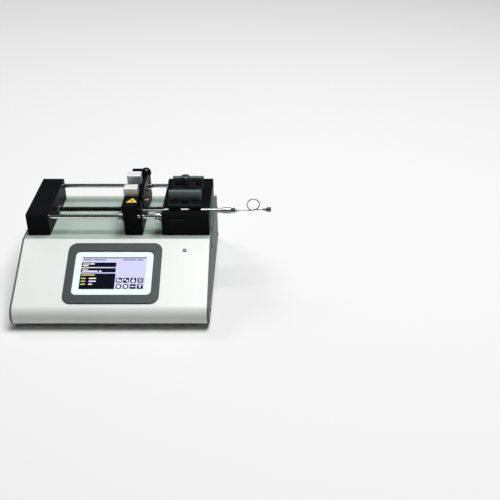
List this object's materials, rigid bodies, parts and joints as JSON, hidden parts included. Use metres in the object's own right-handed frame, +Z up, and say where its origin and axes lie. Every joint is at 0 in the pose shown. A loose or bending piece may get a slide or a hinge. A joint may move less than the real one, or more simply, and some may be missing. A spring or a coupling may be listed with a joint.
{
  "type": "syringe pump",
  "caption": "Bench syringe pump: sloped touch screen panel, screw-driven carriage on two rods, and a clamped small steel syringe with a formed steel outlet tube.",
  "frame": {"origin": "centre of the base's footprint, on the bench under the feet", "axes": "+X is the infusing direction, towards the syringe's outlet; +Y is the back; +Z is up"},
  "size_m": [0.3744, 0.267, 0.1513],
  "materials": {
    "pearl_paint": "pearl off-white paint",
    "grey_green_paint": "satin dark grey-green paint",
    "deck_paint": "satin grey-green paint",
    "black_anodised": "semi-gloss black anodised",
    "zinc_steel": "zinc plated",
    "stainless": "turned stainless steel",
    "chrome_rod": "ground and chromed",
    "aluminium": "machined, clear anodised",
    "clamp_anodised": "dark grey-green anodised",
    "black_oxide": "black oxide",
    "brass": "machined",
    "black_rubber": "moulded",
    "belt_rubber": "moulded",
    "bezel_plastic": "fine texture",
    "black_plastic": "moulded",
    "grey_plastic": "moulded",
    "white_plastic": "moulded",
    "ptfe": "turned",
    "screen_glass": "clear, pale border",
    "screen_face": "lit display",
    "lens": "translucent lens",
    "knob_plastic": "moulded phenolic",
    "yellow_label": "printed film",
    "board_green": "solder mask"
  },
  "bodies": {
    "pump_base": {"barrel_gland": "stainless", "base_plate": "zinc_steel", "bearing_plate": "black_anodised", "board_standoffs": "brass", "clamp_spring": "stainless", "clamp_stud": "stainless", "control_board": "board_green", "control_connector": "zinc_steel", "data_sockets": "zinc_steel", "deck_plate": "deck_paint", "display_board": "board_green", "display_panel": "screen_face", "drive_belt": "belt_rubber", "drive_cover": "black_anodised", "front_cover": "pearl_paint", "guide_rods": "chrome_rod", "holder_block": "black_anodised", "indicator_holder": "zinc_steel", "indicator_lens": "lens", "motor_bracket": "aluminium", "outlet_tube": "stainless", "power_inlet": "black_plastic", "power_supply": "zinc_steel", "rear_cover": "pearl_paint", "rubber_feet": "black_rubber", "screen_bezel": "bezel_plastic", "screw_bearings": "stainless", "side_plate_left": "grey_green_paint", "side_plate_right": "grey_green_paint", "side_plate_screws": "zinc_steel", "stepper_motor": "black_anodised", "switch_frame": "black_plastic", "syringe_barrel": "stainless", "touch_glass": "screen_glass", "tube_nuts": "stainless"},
    "carriage": {"carriage_body": "black_anodised", "rod_bushes": "black_oxide", "carriage_collar": "aluminium", "retainer_pins": "stainless", "pinch_warning_label": "yellow_label", "syringe_plunger": "stainless", "plunger_seal": "ptfe"},
    "release_button": {"release_button": "black_anodised"},
    "half_nut": {"half_nut": "brass"},
    "retainer": {"retainer_plate": "black_anodised", "retainer_knob": "knob_plastic"},
    "front_jaw": {"flange_jaw_front": "aluminium"},
    "rear_jaw": {"flange_jaw_rear": "aluminium"},
    "carriage_thumb_screw": {"carriage_thumb_screw": "zinc_steel"},
    "lead_screw": {"lead_screw": "black_oxide", "screw_pulley": "aluminium", "screw_collar": "zinc_steel"},
    "motor_rotor": {"motor_pulley": "aluminium", "motor_shaft": "stainless"},
    "clamp": {"clamp_bridge": "clamp_anodised", "clamp_cap_screws": "black_oxide"},
    "clamp_knob": {"clamp_knob": "black_oxide"},
    "stop_collar": {"stop_collar": "aluminium"},
    "stop_thumb_screw": {"stop_thumb_screw": "zinc_steel"},
    "rocker": {"rocker_switch": "black_plastic"}
  },
  "joints": [
    {"name": "carriage_slide", "type": "slide", "parent": "pump_base", "child": "carriage", "axis": [1, 0, 0], "range_m": [-0.067, 0.016]},
    {"name": "lead_screw_spin", "type": "hinge", "parent": "pump_base", "child": "lead_screw", "pos_m": [0, 0.0515, 0.099], "axis": [1, 0, 0], "continuous": true},
    {"name": "motor_spin", "type": "hinge", "parent": "pump_base", "child": "motor_rotor", "pos_m": [-0.1, 0.0515, 0.053], "axis": [1, 0, 0], "continuous": true},
    {"name": "release_button_push", "type": "slide", "parent": "carriage", "child": "release_button", "axis": [0, 1, 0], "range_m": [0, 0.004], "stiffness_N_per_m": 300, "springref_m": -0.002},
    {"name": "half_nut_lift", "type": "slide", "parent": "carriage", "child": "half_nut", "axis": [0, 0, 1], "range_m": [0, 0.003]},
    {"name": "retainer_slide", "type": "slide", "parent": "carriage", "child": "retainer", "axis": [1, 0, 0], "range_m": [0, 0.0025], "stiffness_N_per_m": 400, "springref_m": -0.002},
    {"name": "front_jaw_slide", "type": "slide", "parent": "carriage", "child": "front_jaw", "axis": [0, 1, 0], "range_m": [-0.004, 0.008]},
    {"name": "rear_jaw_slide", "type": "slide", "parent": "carriage", "child": "rear_jaw", "axis": [0, 1, 0], "range_m": [-0.016, 0]},
    {"name": "carriage_thumb_screw_turn", "type": "hinge", "parent": "carriage", "child": "carriage_thumb_screw", "pos_m": [0.0055, -0.0086, 0.1136], "axis": [0, 1, 0], "range_deg": [0, 360]},
    {"name": "clamp_lift", "type": "slide", "parent": "pump_base", "child": "clamp", "axis": [0, 0, 1], "range_m": [0, 0.005]},
    {"name": "clamp_knob_turn", "type": "hinge", "parent": "clamp", "child": "clamp_knob", "pos_m": [0.09745, 0.0735, 0.137], "axis": [0, 0, 1], "range_deg": [0, 2250]},
    {"name": "stop_collar_slide", "type": "slide", "parent": "pump_base", "child": "stop_collar", "axis": [1, 0, 0], "range_m": [-0.015, 0]},
    {"name": "stop_thumb_screw_turn", "type": "hinge", "parent": "stop_collar", "child": "stop_thumb_screw", "pos_m": [0.061, -0.0086, 0.1136], "axis": [0, 1, 0], "range_deg": [0, 360]},
    {"name": "rocker_turn", "type": "hinge", "parent": "pump_base", "child": "rocker", "pos_m": [-0.062, 0.1295, 0.034], "axis": [0, 0, 1], "range_deg": [-8, 8]}
  ],
  "couplings": [
    {"joint": "lead_screw_spin", "follows": "carriage_slide", "rad_per_m": 3141.6},
    {"joint": "motor_spin", "follows": "carriage_slide", "rad_per_m": 6283.2},
    {"joint": "half_nut_lift", "follows": "release_button_push", "ratio": 0.75},
    {"joint": "clamp_knob_turn", "follows": "clamp_lift", "rad_per_m": 7854}
  ]
}
